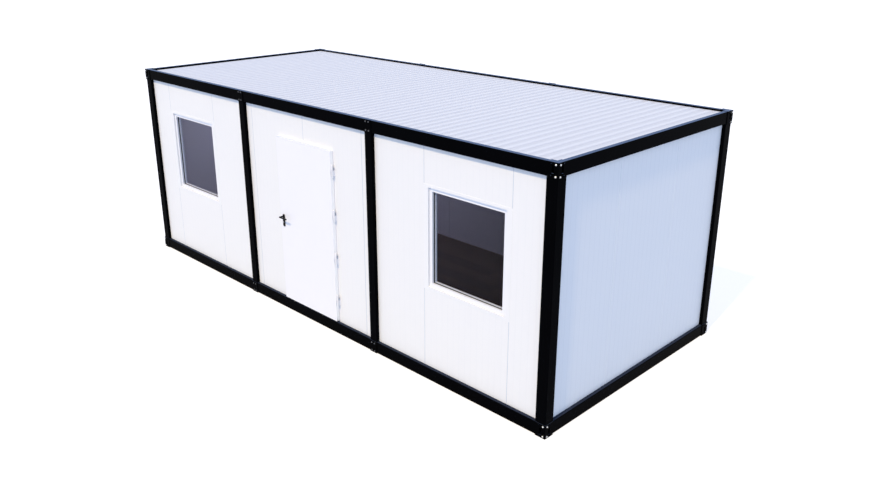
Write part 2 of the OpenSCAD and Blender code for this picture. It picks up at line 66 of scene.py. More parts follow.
def set_up_camera():
    """Camera turned by azimuth, elevation and roll; the shift brings the optical axis to its own row."""
    azimuth = math.radians(CAMERA_AZIMUTH)
    elevation = math.radians(CAMERA_ELEVATION)
    roll = math.radians(CAMERA_ROLL)
    ahead = Vector((
        -math.sin(azimuth) * math.cos(elevation),
        math.cos(azimuth) * math.cos(elevation),
        -math.sin(elevation)))
    side = ahead.cross(Vector((0, 0, 1))).normalized()
    above = side.cross(ahead)
    side, above = (
        math.cos(roll) * side + math.sin(roll) * above,
        math.cos(roll) * above - math.sin(roll) * side)
    lens = bpy.data.cameras.new("photo_camera")
    lens.sensor_fit = "HORIZONTAL"
    lens.sensor_width = SENSOR_WIDTH
    lens.lens = FOCAL_PIXELS / PHOTO_WIDTH * SENSOR_WIDTH
    lens.shift_y = (AXIS_ROW - PHOTO_HEIGHT / 2) / PHOTO_WIDTH
    lens.clip_end = CLIP_END
    camera = bpy.data.objects.new("photo_camera", lens)
    turn = Matrix((side, above, -ahead)).transposed().to_4x4()
    camera.matrix_world = Matrix.Translation(CAMERA_AT) @ turn
    scene.collection.objects.link(camera)
    scene.camera = camera


# Shader nodes

# Colour sockets of a Mix node: its two ends and its result
MIX_FIRST = 6
MIX_SECOND = 7
MIX_RESULT = 2


def add_node(tree, kind, sockets, **settings):
    """A new node with its settings, each socket filled by a value or linked from another node's output."""
    made = tree.nodes.new("ShaderNode" + kind)
    for key, value in settings.items():
        setattr(made, key, value)
    for key, value in sockets.items():
        if isinstance(value, bpy.types.NodeSocket):
            tree.links.new(value, made.inputs[key])
        else:
            made.inputs[key].default_value = value
    return made


def ray_is(tree, *kinds):
    """1 for rays of any of the kinds named, and 0 for the others."""
    path = tree.nodes.new("ShaderNodeLightPath")
    share = path.outputs[f"Is {kinds[0]} Ray"]
    for kind in kinds[1:]:
        other = path.outputs[f"Is {kind} Ray"]
        share = add_node(tree, "Math", {0: share, 1: other}, operation="MAXIMUM").outputs[0]
    return share


def mix(tree, share, first, second):
    """Colour that goes from the first to the second with the share; each is a tone or a node's output."""
    first, second = (c if isinstance(c, bpy.types.NodeSocket) else (*c, 1) for c in (first, second))
    sockets = {"Factor": share, MIX_FIRST: first, MIX_SECOND: second}
    return add_node(tree, "Mix", sockets, data_type="RGBA").outputs[MIX_RESULT]


def place_in_cabin(tree, stretch=(1, 1, 1)):
    """Object coordinates, which are cabin metres, stretched along the axes."""
    where = tree.nodes.new("ShaderNodeTexCoord")
    return add_node(tree, "Mapping", {"Vector": where.outputs["Object"], "Scale": stretch}).outputs[0]


def part_of(tree, vector, axis):
    """One coordinate of a vector."""
    return add_node(tree, "SeparateXYZ", {"Vector": vector}).outputs[axis]


def clouds(tree, where, scale, detail=3.0, roughness=0.55):
    """Soft noise from 0 to 1, with so many blotches to the metre."""
    sockets = {"Vector": where, "Scale": scale, "Detail": detail, "Roughness": roughness}
    return add_node(tree, "TexNoise", sockets).outputs["Fac"]


def spread(tree, value, low, high, floor=0.3, ceiling=0.7):
    """Stretches a value so that floor to ceiling becomes low to high."""
    sockets = {"Value": value, "From Min": floor, "From Max": ceiling, "To Min": low, "To Max": high}
    return add_node(tree, "MapRange", sockets).outputs[0]


def grooves(tree, where, axis, pitch, width):
    """Parallel grooves across an axis: 1 on the land and 0 in the groove, with soft flanks."""
    sockets = {0: part_of(tree, where, axis), 1: pitch / 2}
    phase = add_node(tree, "Math", sockets, operation="PINGPONG").outputs[0]
    sockets = {"Value": phase, "From Min": 0.0, "From Max": width / 2, "To Min": 0.0, "To Max": 1.0}
    return add_node(tree, "MapRange", sockets, interpolation_type="SMOOTHSTEP").outputs[0]


# Light: a warm key from the front and a little from the right, a bluish sky, a soft lamp in the room
KEY_FROM = (0.087, -0.620, 0.779)
KEY_COLOUR = (1.0, 0.765, 0.45)
KEY_STRENGTH = 2.41
KEY_ANGLE = 2.6
SKY_COLOUR = (0.575, 0.715, 1.0)
SKY_SEEN = (1.0, 1.0, 1.0)
SKY_IN_GLOSS = (0.70, 0.83, 1.0)
ROOM_LAMP_AT = (-1.85, 0.0, 2.36)
ROOM_LAMP_SIZE = (2.8, 1.8)
ROOM_LAMP_COLOUR = (0.64, 0.62, 1.0)
ROOM_LAMP_WATTS = 14.0


def hang_lamps():
    """A sun-like key lamp outside, and a lamp under the ceiling that only its light gives away."""
    lamp = bpy.data.lights.new("key_light", "SUN")
    lamp.energy = KEY_STRENGTH
    lamp.color = KEY_COLOUR
    lamp.angle = math.radians(KEY_ANGLE)
    key = bpy.data.objects.new("key_light", lamp)
    key.rotation_euler = Vector(KEY_FROM).to_track_quat("Z", "Y").to_euler()
    scene.collection.objects.link(key)

    panel = bpy.data.lights.new("room_light", "AREA")
    panel.shape = "RECTANGLE"
    panel.size, panel.size_y = ROOM_LAMP_SIZE
    panel.energy = ROOM_LAMP_WATTS
    panel.color = ROOM_LAMP_COLOUR
    room = bpy.data.objects.new("room_light", panel)
    room.location = ROOM_LAMP_AT
    room.visible_camera = False
    room.visible_glossy = False
    scene.collection.objects.link(room)


def set_up_sky():
    """A sky that lights bluish, shows white and gives gloss a pale blue."""
    world = bpy.data.worlds.new("pale_sky")
    world.use_nodes = True
    scene.world = world
    tree = world.node_tree
    seen = mix(tree, ray_is(tree, "Glossy"), SKY_SEEN, SKY_IN_GLOSS)
    colour = mix(tree, ray_is(tree, "Camera", "Glossy", "Transmission"), SKY_COLOUR, seen)
    tree.links.new(colour, tree.nodes["Background"].inputs["Color"])


# Floor: its colour, the light it adds where it is seen, and how far it reaches
FLOOR_COLOUR = (0.485, 0.553, 0.67, 1)
FLOOR_LIFT_COLOUR = (1.0, 0.90, 0.75, 1)
FLOOR_LIFT = 0.68
FLOOR_REACH = 120.0


def lay_floor():
    """A wide pale floor that keeps the shadow and shows white elsewhere."""
    mesh = bpy.data.meshes.new("pale_floor")
    r = FLOOR_REACH
    mesh.from_pydata([(-r, -r, 0), (r, -r, 0), (r, r, 0), (-r, r, 0)], [], [(0, 1, 2, 3)])
    floor = bpy.data.objects.new("pale_floor", mesh)
    scene.collection.objects.link(floor)
    finish = bpy.data.materials.new("pale_floor")
    finish.use_nodes = True
    tree = finish.node_tree
    tree.nodes.clear()
    matt = add_node(tree, "BsdfDiffuse", {"Color": FLOOR_COLOUR})
    seen = ray_is(tree, "Camera", "Glossy", "Transmission")
    lift = add_node(tree, "Math", {0: seen, 1: FLOOR_LIFT}, operation="MULTIPLY")
    glow = add_node(tree, "Emission", {"Color": FLOOR_LIFT_COLOUR, "Strength": lift.outputs[0]})
    both = add_node(tree, "AddShader", {0: matt.outputs[0], 1: glow.outputs[0]})
    add_node(tree, "OutputMaterial", {"Surface": both.outputs[0]})
    mesh.materials.append(finish)


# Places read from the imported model
BLOCK_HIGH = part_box("top_corner_blocks")[1]
HALF_L, HALF_W, TOP = BLOCK_HIGH.x, BLOCK_HIGH.y, BLOCK_HIGH.z
PLATE_LOW, PLATE_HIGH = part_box("joint_plates")
LEAF_LOW, LEAF_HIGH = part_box("door_leaf")
DOOR_FRAME_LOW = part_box("door_frame")[0]
HANDLE_LOW, HANDLE_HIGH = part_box("door_handle_plates")
DECK_LOW, DECK_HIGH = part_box("floor_deck")
ROOF_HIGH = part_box("roof_sheet")[1]
PANEL_LOW, PANEL_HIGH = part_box("right_bay_panels")
HEADER_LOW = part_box("door_header_panels")[0]

# Roof ribs: spacing, width of a crest and of a slope, height
RIB_PITCH = 0.117
RIB_CREST = 0.040
RIB_SLOPE = 0.010
RIB_H = 0.010
# Painted shade in the roof valleys: depths below the crests, as shares of the rib height, where it is full and
# where it ends
VALLEY_SHADE_FULL = 0.9
VALLEY_SHADE_NONE = 0.1

# Pressed lines of the wall sheets: thirteen to a metre, their width, and the grain against their depth
PANEL_LINE_PITCH = 1 / 13
PANEL_LINE_WIDTH = 0.014
PANEL_GRAIN = 0.12

# Dust and painted sky reflection on the frame paint: heights, and upward parts of a face's normal, between which
# it grows
DUST_AND_SHEEN_LEVELS = (1.0, 2.0)
DUST_AND_SHEEN_FACING = (0.75, 0.95)

# How far the roughness of white paint and of zinc goes up from its lowest
PAINT_ROUGH_RANGE = 0.12
ZINC_ROUGH_RANGE = 0.15


# Finishes

def new_finish(name, **sockets):
    """A material with its Principled shader; plain values go straight onto the shader's sockets."""
    finish = bpy.data.materials.new(name)
    finish.use_nodes = True
    shader = finish.node_tree.nodes["Principled BSDF"]
    for key, value in sockets.items():
        shader.inputs[key].default_value = value
    return finish, finish.node_tree, shader


def dress(tree, shader, colour, roughness):
    """Links a colour and a roughness to the shader."""
    tree.links.new(colour, shader.inputs["Base Color"])
    tree.links.new(roughness, shader.inputs["Roughness"])


def relief(tree, shader, height, depth, strength):
    """Bump of the given depth in metres."""
    bump = add_node(tree, "Bump", {"Height": height, "Distance": depth, "Strength": strength})
    tree.links.new(bump.outputs[0], shader.inputs["Normal"])


def gloss_black_paint():
    """Black frame paint with orange peel and faint clouds.

    Faces that look up carry dust and a painted reflection of the blue sky, thin on the ledges below and thicker
    and bluer at the roof.
    """
    finish, tree, shader = new_finish("gloss_black_paint", IOR=1.04)
    where = place_in_cabin(tree)
    paint = mix(tree, clouds(tree, where, 2.2), (0.0006, 0.0007, 0.0010), (0.0016, 0.0018, 0.0026))
    blotches = clouds(tree, where, 6.0)
    # Dust and painted sky reflection on faces that look up, stronger and bluer at the roof
    ledge_dust_and_sheen = mix(tree, blotches, (0.017, 0.023, 0.040), (0.030, 0.038, 0.062))
    roof_dust_and_sheen = mix(tree, blotches, (0.066, 0.100, 0.182), (0.098, 0.142, 0.246))
    aloft = spread(tree, part_of(tree, where, "Z"), 0.0, 1.0, *DUST_AND_SHEEN_LEVELS)
    dust_and_sky_sheen = mix(tree, aloft, ledge_dust_and_sheen, roof_dust_and_sheen)
    normal = tree.nodes.new("ShaderNodeNewGeometry").outputs["Normal"]
    facing_up = spread(tree, part_of(tree, normal, "Z"), 0.0, 1.0, *DUST_AND_SHEEN_FACING)
    coat = mix(tree, facing_up, paint, dust_and_sky_sheen)
    dress(tree, shader, coat, spread(tree, clouds(tree, where, 9.0), 0.16, 0.30))
    relief(tree, shader, clouds(tree, where, 190.0, detail=1.0), depth=0.0004, strength=0.2)
    return finish


def white_panel_sheet(name, axis, dark, light, groove_shade):
    """Coated wall sheet of two close tones.

    Fine pressed lines across the given axis keep a share of the dark tone, a painted shade in their grooves.
    """
    finish, tree, shader = new_finish(name, IOR=1.4)
    where = place_in_cabin(tree)
    lines = grooves(tree, where, axis, PANEL_LINE_PITCH, PANEL_LINE_WIDTH)
    tone = mix(tree, clouds(tree, where, 1.3), dark, light)
    # Painted shade in the grooves of the pressed lines
    groove_shaded = mix(tree, lines, tuple(groove_shade * c for c in dark), tone)
    dress(tree, shader, groove_shaded, spread(tree, clouds(tree, where, 14.0), 0.42, 0.56))
    grain = clouds(tree, where, 260.0, detail=1.0)
    height = add_node(tree, "Math", {0: grain, 1: PANEL_GRAIN, 2: lines}, operation="MULTIPLY_ADD").outputs[0]
    relief(tree, shader, height, depth=0.0006, strength=0.6)
    return finish


def white_paint(name, dark, light, rough, grain):
    """Satin white paint or moulded profile with soft tone changes and a fine surface grain."""
    finish, tree, shader = new_finish(name, IOR=1.45)
    where = place_in_cabin(tree)
    tone = mix(tree, clouds(tree, where, 2.0), dark, light)
    dress(tree, shader, tone, spread(tree, clouds(tree, where, 17.0), rough, rough + PAINT_ROUGH_RANGE))
    relief(tree, shader, clouds(tree, where, grain, detail=1.0), depth=0.0003, strength=0.3)
    return finish


def roof_coating():
    """Pale coated roof sheet: lighter crests, painted shade in the valleys, faint water marks along the fall."""
    finish, tree, shader = new_finish("roof_coating", IOR=1.4)
    marks = clouds(tree, place_in_cabin(tree, (6.0, 0.7, 1.0)), 2.2, detail=4.0)
    where = place_in_cabin(tree)
    crest_tone = mix(tree, marks, (0.665, 0.688, 0.760), (0.691, 0.714, 0.781))
    # Valleys darker and bluer than the crests: painted shade
    valley_shade = mix(tree, marks, (0.579, 0.603, 0.675), (0.609, 0.634, 0.703))
    shade_full, shade_none = ROOF_HIGH.z - VALLEY_SHADE_FULL * RIB_H, ROOF_HIGH.z - VALLEY_SHADE_NONE * RIB_H
    raised = spread(tree, part_of(tree, where, "Z"), 0.0, 1.0, shade_full, shade_none)
    sheet = mix(tree, raised, valley_shade, crest_tone)
    dress(tree, shader, sheet, spread(tree, clouds(tree, where, 7.0), 0.40, 0.58))
    relief(tree, shader, clouds(tree, where, 150.0, detail=1.0), depth=0.0004, strength=0.3)
    return finish


def matt_rubber(name, dark, light):
    """Matt rubber or foam of gaskets, seals and fillers, slightly blotched."""
    finish, tree, shader = new_finish(name, IOR=1.4)
    where = place_in_cabin(tree)
    tone = mix(tree, clouds(tree, where, 30.0), dark, light)
    dress(tree, shader, tone, spread(tree, clouds(tree, where, 60.0), 0.55, 0.72))
    relief(tree, shader, clouds(tree, where, 500.0, detail=1.0), depth=0.0002, strength=0.4)
    return finish


def tinted_glass():
    """Grey-blue tinted pane, see-through by its alpha, with a slightly uneven polish."""
    finish, tree, shader = new_finish("tinted_glass", IOR=1.32, Alpha=0.075)
    where = place_in_cabin(tree)
    tint = mix(tree, clouds(tree, where, 1.5), (0.003, 0.003, 0.005), (0.005, 0.006, 0.009))
    dress(tree, shader, tint, spread(tree, clouds(tree, where, 4.0), 0.03, 0.07))
    return finish


def brushed_aluminium(name, dark, light):
    """Extruded aluminium with brush marks along X."""
    finish, tree, shader = new_finish(name, Metallic=1.0)
    marks = clouds(tree, place_in_cabin(tree, (0.02, 1.0, 1.0)), 900.0, detail=2.0)
    dress(tree, shader, mix(tree, marks, dark, light), spread(tree, marks, 0.30, 0.46))
    relief(tree, shader, marks, depth=0.0002, strength=0.5)
    return finish


def black_fitting():
    """Satin black door furniture."""
    finish, tree, shader = new_finish("black_fitting", IOR=1.18)
    where = place_in_cabin(tree)
    tone = mix(tree, clouds(tree, where, 40.0), (0.0012, 0.0012, 0.0016), (0.0030, 0.0030, 0.0036))
    dress(tree, shader, tone, spread(tree, clouds(tree, where, 90.0), 0.28, 0.42))
    relief(tree, shader, clouds(tree, where, 700.0, detail=1.0), depth=0.0001, strength=0.4)
    return finish


def zinc_plate(name, dark, light, rough):
    """Zinc or galvanised steel with spangle cells of slightly different grey."""
    finish, tree, shader = new_finish(name, Metallic=1.0)
    where = place_in_cabin(tree)
    cells = add_node(tree, "TexVoronoi", {"Vector": where, "Scale": 120.0}).outputs["Color"]
    grey = add_node(tree, "RGBToBW", {"Color": cells}).outputs[0]
    dress(tree, shader, mix(tree, grey, dark, light), spread(tree, grey, rough, rough + ZINC_ROUGH_RANGE))
    relief(tree, shader, clouds(tree, where, 400.0, detail=2.0), depth=0.0002, strength=0.4)
    return finish


def dark_wood_boards():
    """Dark laminate boards: grain stretched along X, each board with its own tone from its attribute."""
    finish, tree, shader = new_finish("dark_wood_boards", IOR=1.45)
    tone = tree.nodes.new("ShaderNodeAttribute")
    tone.attribute_name = "board_tone"
    where = place_in_cabin(tree, (0.10, 1.0, 1.0))
    shifted = add_node(tree, "VectorMath", {0: where, 1: tone.outputs["Vector"]}, operation="ADD").outputs[0]
    grain = clouds(tree, shifted, 60.0, detail=5.0, roughness=0.65)
    board = mix(tree, tone.outputs["Fac"], (0.088, 0.046, 0.030), (0.158, 0.090, 0.056))
    streaks = mix(tree, spread(tree, grain, 0.55, 1.0), (0.020, 0.012, 0.009), board)
    dress(tree, shader, streaks, spread(tree, grain, 0.48, 0.36))
    relief(tree, shader, grain, depth=0.0004, strength=0.4)
    return finish


def deck_plywood():
    """Plain plywood under the boards."""
    finish, tree, shader = new_finish("deck_plywood", IOR=1.4)
    grain = clouds(tree, place_in_cabin(tree, (0.15, 1.0, 1.0)), 25.0, detail=5.0)
    tone = mix(tree, grain, (0.20, 0.13, 0.08), (0.36, 0.25, 0.16))
    dress(tree, shader, tone, spread(tree, grain, 0.55, 0.75))
    relief(tree, shader, grain, depth=0.0006, strength=0.4)
    return finish


frame_black = gloss_black_paint()
front_sheet = white_panel_sheet(
    "white_panel_front", "X", (0.848, 0.856, 0.852), (0.868, 0.872, 0.861), groove_shade=0.992)
# End sheets a little lighter and bluer than the front ones, painted light for the end walls; their grooves carry a
# deeper painted shade
end_sheet = white_panel_sheet(
    "white_panel_end", "Y", (0.852, 0.860, 0.862), (0.870, 0.876, 0.872), groove_shade=0.960)
window_white = white_paint(
    "window_profile_white", (0.850, 0.865, 0.905), (0.875, 0.888, 0.925), rough=0.26, grain=320.0)
cover_white = white_paint(
    "window_cover_white", (0.852, 0.860, 0.860), (0.869, 0.876, 0.872), rough=0.40, grain=260.0)
door_white = white_paint(
    "door_white", (0.865, 0.87, 0.895), (0.885, 0.888, 0.905), rough=0.40, grain=240.0)
ceiling_white = white_paint(
    "ceiling_white", (0.82, 0.83, 0.85), (0.86, 0.86, 0.875), rough=0.5, grain=200.0)
roof_white = roof_coating()
rubber = matt_rubber("black_rubber", (0.012, 0.013, 0.018), (0.024, 0.026, 0.034))
seal_white = matt_rubber("white_rubber", (0.80, 0.81, 0.83), (0.86, 0.865, 0.88))
# Spacer tone tinted blue: painted cool light against the warm key that reaches it through the glass
spacer_painted_cool_light = matt_rubber("spacer_painted_cool_light", (0.78, 0.83, 0.95), (0.82, 0.87, 0.97))
joint_grey = matt_rubber("joint_grey_rubber", (0.51, 0.57, 0.66), (0.56, 0.62, 0.70))
filler_foam = matt_rubber("filler_foam", (0.569, 0.593, 0.670), (0.619, 0.645, 0.718))
pane = tinted_glass()
aluminium = brushed_aluminium("brushed_aluminium", (0.48, 0.49, 0.51), (0.66, 0.67, 0.69))
# Edging tinted blue: painted cool light that keeps the warm key's cream off the leaf's edges
cool_tinted_edging_metal = brushed_aluminium("edging_aluminium", (0.87, 0.905, 0.955), (0.92, 0.95, 0.99))
furniture_black = black_fitting()
bright_zinc = zinc_plate("bright_zinc", (0.70, 0.71, 0.73), (0.88, 0.89, 0.90), rough=0.30)
dull_zinc = zinc_plate("dull_zinc", (0.10, 0.105, 0.12), (0.17, 0.175, 0.19), rough=0.40)
galvanised = zinc_plate("galvanised_steel", (0.42, 0.43, 0.45), (0.58, 0.59, 0.61), rough=0.38)
boards_dark = dark_wood_boards()
plywood = deck_plywood()

FINISH_OF_SLOT = {
    "frame_paint": frame_black, "wall_panel": front_sheet, "window_frame": window_white, "gasket": rubber,
    "glass": pane, "door_paint": door_white, "threshold": aluminium, "handle": furniture_black,
    "floor": plywood, "joist_steel": galvanised, "ceiling": ceiling_white, "roof": roof_white,
}
END_WALLS = ("left_end_panels", "right_end_panels")


def finish_packed_nodes():
    """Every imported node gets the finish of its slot; the end walls have their lines across Y."""
    for part in frame["record"]["subparts"]:
        node = nodes[part["node"]]
        finish = FINISH_OF_SLOT[part["material_slot"]]
        if part["node"] in END_WALLS:
            finish = end_sheet
        node.data.materials.clear()
        node.data.materials.append(finish)


# Shapes

# Edges sharper than this many degrees stay sharp on smooth pieces
SHARP_ANGLE = 35
# An axis whose upward part is more than this counts as upright
UPRIGHT = 0.9
# Ways outwards at the corners of an upright rectangle, along X and Z
CORNER_WAYS = np.array([[-1.0, -1.0], [1.0, -1.0], [1.0, 1.0], [-1.0, 1.0]])


def new_piece(name, points, faces, finish, body, smooth=True):
    """Puts points and faces into a mesh at the cabin's own place and rides it on a body."""
    mesh = bpy.data.meshes.new(name)
    mesh.from_pydata(np.asarray(points, float).reshape(-1, 3).tolist(), [], faces)
    mesh.validate()
    mesh.update()
    mesh.polygons.foreach_set("use_smooth", np.full(len(mesh.polygons), smooth))
    if smooth:
        mesh.set_sharp_from_angle(angle=math.radians(SHARP_ANGLE))
    mesh.materials.append(finish)
    piece = bpy.data.objects.new(name, mesh)
    scene.collection.objects.link(piece)
    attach(piece, body)
    return piece


def every(*choices):
    """All combinations of the choices, as one flat array for each choice."""
    return [a.ravel() for a in np.meshgrid(*choices, indexing="ij")]


def places(x, y, z):
    """Points from coordinates whose shapes broadcast together."""
    return np.stack(np.broadcast_arrays(x, y, z), -1)


def stack_faces(points):
    """Faces of many equal pieces, each a stack of closed rings; points are piece by ring by corner.

    Quads join each ring to the next, and one face closes the first ring and one the last.
    """
    pieces, rings, corners = points.shape[:3]
    ring, corner = np.meshgrid(np.arange(rings - 1), np.arange(corners), indexing="ij")
    after = (corner + 1) % corners
    low, high = ring * corners, (ring + 1) * corners
    quads = np.stack([low + corner, low + after, high + after, high + corner], -1).reshape(1, -1, 4)
    starts = np.arange(pieces)[:, None] * rings * corners
    sides = (starts[:, :, None] + quads).reshape(-1, 4)
    first = starts + np.arange(corners)[::-1]
    last = starts + (rings - 1) * corners + np.arange(corners)
    return sides.tolist() + first.tolist() + last.tolist()


def turned_pieces(centres, axes, profile, sides, six_sided=()):
    """Points of many equal turned pieces at once; the numbers of any six-sided rings are given.

    Each point lies at its centre, plus its ring's height along the axis, plus its ring's radius round the
    axis. On six-sided rings the radius at an angle is the flat's distance divided by the cosine of the angle
    from the middle of that flat.
    """
    centres, axes, profile = (np.asarray(a, float) for a in (centres, axes, profile))
    angle = np.arange(sides) * 2 * np.pi / sides
    off_flat = (angle + np.pi / 6) % (np.pi / 3) - np.pi / 6
    flat_ring = np.isin(np.arange(len(profile)), six_sided)
    radius = profile[:, :1] * np.where(flat_ring[:, None], 1 / np.cos(off_flat), 1.0)
    helper = np.where(np.abs(axes[:, 2:]) > UPRIGHT, np.array([[1.0, 0, 0]]), np.array([[0, 0, 1.0]]))
    across = np.cross(helper, axes)
    across /= np.linalg.norm(across, axis=1, keepdims=True)
    along = np.cross(axes, across)
    ring = radius[None, :, :, None] * (
        np.cos(angle)[None, None, :, None] * across[:, None, None, :]
        + np.sin(angle)[None, None, :, None] * along[:, None, None, :])
    height = profile[None, :, 1, None, None] * axes[:, None, None, :]
    return centres[:, None, None, :] + height + ring


def ring_round(x0, x1, z0, z1, profile, reach=CORNER_WAYS):
    """A closed profile carried round an upright rectangle with mitred corners.

    A profile point (out, y) sits at each corner moved along X and Z by out times that corner's reach, at
    depth y.
    """
    profile = np.asarray(profile, float)
    corner = np.array([[x0, z0], [x1, z0], [x1, z1], [x0, z1]])
    flat = corner[:, None, :] + reach[:, None, :] * profile[None, :, :1]
    points = places(flat[..., 0], profile[None, :, 1], flat[..., 1])
    count = len(profile)
    r, c = np.meshgrid(np.arange(4), np.arange(count), indexing="ij")
    nr, nc = (r + 1) % 4, (c + 1) % count
    quads = np.stack([r * count + c, nr * count + c, nr * count + nc, r * count + nc], -1)
    return points, quads.reshape(-1, 4).tolist()


# Bolt head and washer: radius or flat distance, then height above the plate; which rings are six-sided
BOLT_PROFILE = [
    (0.0085, 0.0), (0.0085, 0.0016), (0.0080, 0.0020), (0.0063, 0.0020), (0.0063, 0.0058),
    (0.0054, 0.0069), (0.0030, 0.0071)]
BOLT_SIX_SIDED = (3, 4)
BOLT_SIDES = 12
# Bolts of the corner blocks: in from the cabin's edge, and up from its foot or down from its top
EDGE_BOLTS_IN = 0.026
INNER_BOLTS_IN = 0.076
BLOCK_BOLTS_UP = (0.020, 0.122)
# Joint plates: half their width, their middle from the outer end, and the bolts from that middle
PLATE_HALF = 0.0535
PLATE_MID_Z = 0.066
PLATE_BOLT_X = 0.023
PLATE_BOLT_Z = 0.045


def bolts(name, centres, axes, finish):
    """Equal bolts at the given centres, which point along the given axes."""
    points = turned_pieces(centres, axes, BOLT_PROFILE, BOLT_SIDES, BOLT_SIX_SIDED)
    new_piece(name, points, stack_faces(points), finish, "cabin")


def corner_block_bolts(name, inwards, finish):
    """Two bolts, one above the other, on each outer face of all eight corner blocks.

    They lie the given distance in from the edge of the cabin.
    """
    sx, sy, level, away = every([-1, 1], [-1, 1], [0, 1], BLOCK_BOLTS_UP)
    z = np.where(level > 0, TOP - away, away)
    on_long_side = places(sx * (HALF_L - inwards), sy * HALF_W, z)
    on_end = places(sx * HALF_L, sy * (HALF_W - inwards), z)
    axes = np.concatenate([places(0.0, sy, 0.0), places(sx, 0.0, 0.0)])
    bolts(name, np.concatenate([on_long_side, on_end]), axes, finish)


def joint_plate_bolts():
    """Four dull bolts on each joint plate of the middle posts, front and back."""
    levels = (PLATE_LOW.z + PLATE_MID_Z, PLATE_HIGH.z - PLATE_MID_Z)
    sx, sy, level, dx, dz = every(
        [-1, 1], [-1, 1], levels, [-PLATE_BOLT_X, PLATE_BOLT_X], [-PLATE_BOLT_Z, PLATE_BOLT_Z])
    centres = places(sx * (PLATE_HIGH.x - PLATE_HALF) + dx, sy * HALF_W, level + dz)
    bolts("joint_plate_bolts", centres, places(0.0, sy, 0.0), dull_zinc)


# Door seal: its middle inside the edge of the leaf, half its width, its height on the frame, points across
SEAL_IN = 0.0065
SEAL_HALF = 0.0055
SEAL_RISE = 0.0045
SEAL_POINTS = 13


def door_seal():
    """Soft strip round the door opening: a low arch on a flat foot.

    The arch is the half width times the cosine by the height times the root of the sine.
    """
    turn = np.linspace(0, np.pi, SEAL_POINTS)
    arch = np.stack([SEAL_HALF * np.cos(turn), DOOR_FRAME_LOW.y - SEAL_RISE * np.sin(turn) ** 0.5], -1)
    points, faces = ring_round(
        LEAF_LOW.x + SEAL_IN, LEAF_HIGH.x - SEAL_IN, LEAF_LOW.z + SEAL_IN, LEAF_HIGH.z - SEAL_IN, arch)
    new_piece("door_seal", points, faces, seal_white, "cabin")


# Metal edging of the door leaf: its thickness and how far it stops short of the two faces
EDGING_T = 0.0008
EDGING_SHORT = 0.0004


def door_edging():
    """Thin metal strip round the four narrow sides of the leaf: a flat profile with eased edges."""
    front, back = LEAF_LOW.y + EDGING_SHORT, LEAF_HIGH.y - EDGING_SHORT
    ease = EDGING_T / 2
    strip = [
        (0, back), (ease, back), (EDGING_T, back - ease),
        (EDGING_T, front + ease), (ease, front), (0, front)]
    points, faces = ring_round(LEAF_LOW.x, LEAF_HIGH.x, LEAF_LOW.z, LEAF_HIGH.z, strip)
    new_piece("door_edging", points, faces, cool_tinted_edging_metal, "door", smooth=False)


# Roof fillers: length across the edge of the rail's lip, that edge in from the cabin face, gap round each
FILLER_REACH = 0.022
LIP_IN = 0.061
FILLER_GAP = 0.0006


def roof_fillers():
    """Soft blocks that close the valleys of the roof sheet under the lips of the two long rails.

    Valleys lie half a pitch beside the ribs. Each block is a prism on the valley's own section, wider by both
    slopes at its top, with two rings of four corners, under the lip and inside it.
    """
    ribs = math.floor((2 * ROOF_HIGH.x - RIB_CREST) / RIB_PITCH)
    middle = (np.arange(ribs - 1) - (ribs - 2) / 2) * RIB_PITCH
    high_half = (RIB_PITCH - RIB_CREST) / 2 - FILLER_GAP
    low_half = high_half - RIB_SLOPE
    across = np.array([-low_half, low_half, high_half, -high_half])
    level = ROOF_HIGH.z - np.array([RIB_H - FILLER_GAP, RIB_H - FILLER_GAP, FILLER_GAP, FILLER_GAP])
    side, at = every([-1.0, 1.0], middle)
    depth = HALF_W - LIP_IN + np.array([FILLER_REACH / 2, -FILLER_REACH / 2])
    points = places(
        at[:, None, None] + side[:, None, None] * across, side[:, None, None] * depth[:, None], level)
    new_piece("roof_fillers", points, stack_faces(points), filler_foam, "cabin", smooth=False)


# Spacer bars of the double panes: the panes' thickness and lap in the frame, then the bar's height, its eased
# edge and its play between the panes
PANE_T = 0.004
PANE_LAP = 0.008
SPACER_UP = 0.0065
SPACER_EASE = 0.0010
SPACER_PLAY = 0.0004


def pane_spacers():
    """White bars between the two panes of each window: a flat profile with eased edges, mitred at corners."""
    inset = PANE_LAP + SPACER_UP
    for side in ("left", "right"):
        low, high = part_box(f"{side}_window_glass")
        front, back = low.y + PANE_T + SPACER_PLAY, high.y - PANE_T - SPACER_PLAY
        bar = [
            (SPACER_UP, front), (SPACER_EASE, front), (0, front + SPACER_EASE),
            (0, back - SPACER_EASE), (SPACER_EASE, back), (SPACER_UP, back)]
        points, faces = ring_round(low.x + inset, high.x - inset, low.z + inset, high.z - inset, bar)
        new_piece(f"{side}_pane_spacer", points, faces, spacer_painted_cool_light, "cabin", smooth=False)


# Cover frames of the windows: how far the room-side trim laps, then reach to the sides, below and above,
# thickness, eased edge and the share of the reach that is flat
WINDOW_LAP = 0.020
COVER_SIDE = 0.0615
COVER_BELOW = 0.032
COVER_ABOVE = 0.030
COVER_T = 0.0020
COVER_EASE = 0.0006
COVER_FLAT = 0.98


